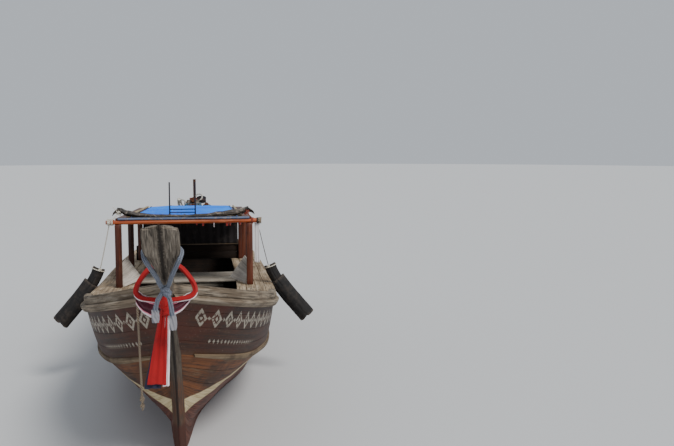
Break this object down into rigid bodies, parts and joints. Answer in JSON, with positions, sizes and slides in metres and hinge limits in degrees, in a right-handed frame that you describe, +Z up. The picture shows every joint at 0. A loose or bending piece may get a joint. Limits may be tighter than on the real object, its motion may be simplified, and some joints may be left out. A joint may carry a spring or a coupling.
{
  "type": "wooden long-tail passenger boat with canopy",
  "caption": "Wooden long-tail passenger boat: planked V-bow hull with tall stem head, canopy on posts, bow sashes, tyre fenders and a swivelling engine with a long propeller tail.",
  "frame": {"origin": "amidships on the centre plane, at the waterline", "axes": "+Z up, -Y towards the bow, +X to port"},
  "size_m": [3.231, 14.6127, 2.9133],
  "materials": {
    "weathered_wood": "bare, weathered",
    "dark_varnished_wood": "worn dark varnish",
    "oiled_wood": "orange-brown oil over planks",
    "bottom_wood": "faded bottom paint",
    "strake_wood": "bare, grey",
    "deck_wood": "bare, pale",
    "inner_wood": "bare, grey",
    "board_wood": "bare, pale grey",
    "roof_varnish": "orange-brown varnish",
    "post_wood": "red-brown varnish",
    "bamboo": "bare bamboo",
    "dark_cloth": "dark woven sheet",
    "blue_tarp": "woven plastic sheet",
    "black_tarp": "crumpled plastic sheet",
    "curtain_cloth": "thin cloth",
    "black_steel": "black paint",
    "tyre_rubber": "worn tyre tread",
    "checked_cloth": "woven check",
    "red_cloth": "red, white and navy cloth",
    "rope": "laid rope",
    "engine_paint": "blue-grey enamel",
    "engine_metal": "cast",
    "rusty_steel": "paint over rust",
    "galvanised_steel": "galvanised",
    "bronze": "worn bronze"
  },
  "bodies": {
    "boat": {"stem_post": "weathered_wood", "rub_rail_port": "weathered_wood", "rub_rail_starboard": "weathered_wood", "cap_rail_port": "weathered_wood", "cap_rail_starboard": "weathered_wood", "topside_planks_port": "dark_varnished_wood", "topside_planks_starboard": "dark_varnished_wood", "transom": "dark_varnished_wood", "keel": "dark_varnished_wood", "side_planks_port": "oiled_wood", "side_planks_starboard": "oiled_wood", "bottom_planks_port": "bottom_wood", "bottom_planks_starboard": "bottom_wood", "lower_strake_port": "strake_wood", "lower_strake_starboard": "strake_wood", "side_deck_port": "deck_wood", "side_deck_starboard": "deck_wood", "floor_timbers": "inner_wood", "side_ribs_port": "inner_wood", "side_ribs_starboard": "inner_wood", "sole": "inner_wood", "fore_deck": "inner_wood", "engine_bed": "inner_wood", "bench_1": "board_wood", "bench_2": "board_wood", "cross_board_1": "board_wood", "cross_board_2": "board_wood", "aft_coaming": "board_wood", "aft_platform": "board_wood", "side_board_port": "board_wood", "side_board_starboard": "board_wood", "front_beam": "roof_varnish", "roof_panel": "roof_varnish", "post_1_port": "post_wood", "post_1_starboard": "post_wood", "post_2_port": "post_wood", "post_2_starboard": "post_wood", "post_3_port": "post_wood", "post_3_starboard": "post_wood", "roof_frame": "post_wood", "roof_pole_port": "bamboo", "roof_pole_starboard": "bamboo", "rear_curtain": "dark_cloth", "blue_tarp": "blue_tarp", "black_tarp": "black_tarp", "side_curtain": "curtain_cloth", "roof_rack": "black_steel", "fender_port": "tyre_rubber", "fender_starboard": "tyre_rubber", "neck_sash": "checked_cloth", "flag_sash": "red_cloth", "bow_rope": "rope"},
    "yoke": {"engine_yoke": "rusty_steel"},
    "long_tail": {"engine_frame": "rusty_steel", "engine_block": "engine_paint", "engine_head": "engine_metal", "exhaust_pipe": "rusty_steel", "tiller": "galvanised_steel", "tail_tube": "galvanised_steel"},
    "screw": {"propeller": "bronze"}
  },
  "joints": [
    {"name": "engine_swivel", "type": "hinge", "parent": "boat", "child": "yoke", "pos_m": [0, 4.2, 1.33], "axis": [0, 0, 1], "range_deg": [-40, 40]},
    {"name": "engine_tilt", "type": "hinge", "parent": "yoke", "child": "long_tail", "pos_m": [0, 4.2, 1.33], "axis": [1, 0, 0], "range_deg": [-4, 24]},
    {"name": "propeller_spin", "type": "hinge", "parent": "long_tail", "child": "screw", "pos_m": [0, 7.71765, -0.18893], "axis": [0, 0.9063, -0.4226], "continuous": true}
  ]
}
